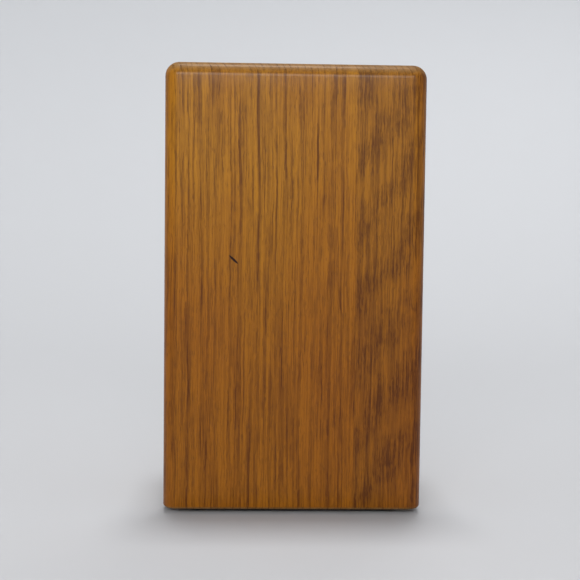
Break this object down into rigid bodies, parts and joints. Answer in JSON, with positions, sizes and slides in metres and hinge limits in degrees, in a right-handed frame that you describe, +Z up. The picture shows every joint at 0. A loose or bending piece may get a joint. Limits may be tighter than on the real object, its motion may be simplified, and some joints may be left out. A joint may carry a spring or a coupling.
{
  "type": "wooden cryptex",
  "caption": "Upright wooden combination lock: faceted number wheels turn between two blocks on a round-edged back board, and a pinned vault core lifts out of the top.",
  "frame": {"origin": "centre of the bounding box's underside, on the felt foot", "axes": "+Z up along the wheels' axis, +Y towards the side where the code is read, -Y out of the plain face of the back board, +X across the board"},
  "size_m": [0.0888, 0.0766, 0.154],
  "materials": {
    "oak_rift": "satin lacquer over stained oak",
    "oak_flat": "satin lacquer over stained oak",
    "maple": "waxed",
    "beech": "bare",
    "brass": "satin",
    "dark_felt": "matt felt",
    "leather": "matt",
    "cork": "bare cork"
  },
  "bodies": {
    "case": {"back_board_wide": "oak_rift", "back_board_narrow": "oak_flat", "base_block": "oak_rift", "top_block": "oak_rift", "foot_felt": "dark_felt", "board_dowels": "beech", "guide_tube": "brass", "landing_pad": "cork", "index_peg_lower": "brass", "index_peg_upper": "brass"},
    "wheel_1": {"number_ring_1": "oak_rift", "gate_ring_1": "maple", "felt_ring_1": "dark_felt"},
    "wheel_2": {"number_ring_2": "oak_rift", "gate_ring_2": "maple", "felt_ring_2": "dark_felt"},
    "wheel_3": {"number_ring_3": "oak_rift", "gate_ring_3": "maple", "felt_ring_3": "dark_felt"},
    "wheel_4": {"number_ring_4": "oak_rift", "gate_ring_4": "maple", "felt_ring_4": "dark_felt"},
    "wheel_5": {"number_ring_5": "oak_rift", "gate_ring_5": "maple", "felt_ring_5": "dark_felt"},
    "core": {"vault_core": "maple", "lock_pins": "brass", "pull_cap": "oak_rift", "cap_washer": "leather", "cap_screw": "brass"}
  },
  "joints": [
    {"name": "wheel_1_turn", "type": "hinge", "parent": "case", "child": "wheel_1", "pos_m": [0, 0.0059, 0.03], "axis": [0, 0, 1], "continuous": true},
    {"name": "wheel_2_turn", "type": "hinge", "parent": "case", "child": "wheel_2", "pos_m": [0, 0.0059, 0.052], "axis": [0, 0, 1], "continuous": true},
    {"name": "wheel_3_turn", "type": "hinge", "parent": "case", "child": "wheel_3", "pos_m": [0, 0.0059, 0.074], "axis": [0, 0, 1], "continuous": true},
    {"name": "wheel_4_turn", "type": "hinge", "parent": "case", "child": "wheel_4", "pos_m": [0, 0.0059, 0.095], "axis": [0, 0, 1], "continuous": true},
    {"name": "wheel_5_turn", "type": "hinge", "parent": "case", "child": "wheel_5", "pos_m": [0, 0.0059, 0.117], "axis": [0, 0, 1], "continuous": true},
    {"name": "core_lift", "type": "slide", "parent": "case", "child": "core", "axis": [0, 0, 1], "range_m": [0, 0.132]}
  ]
}
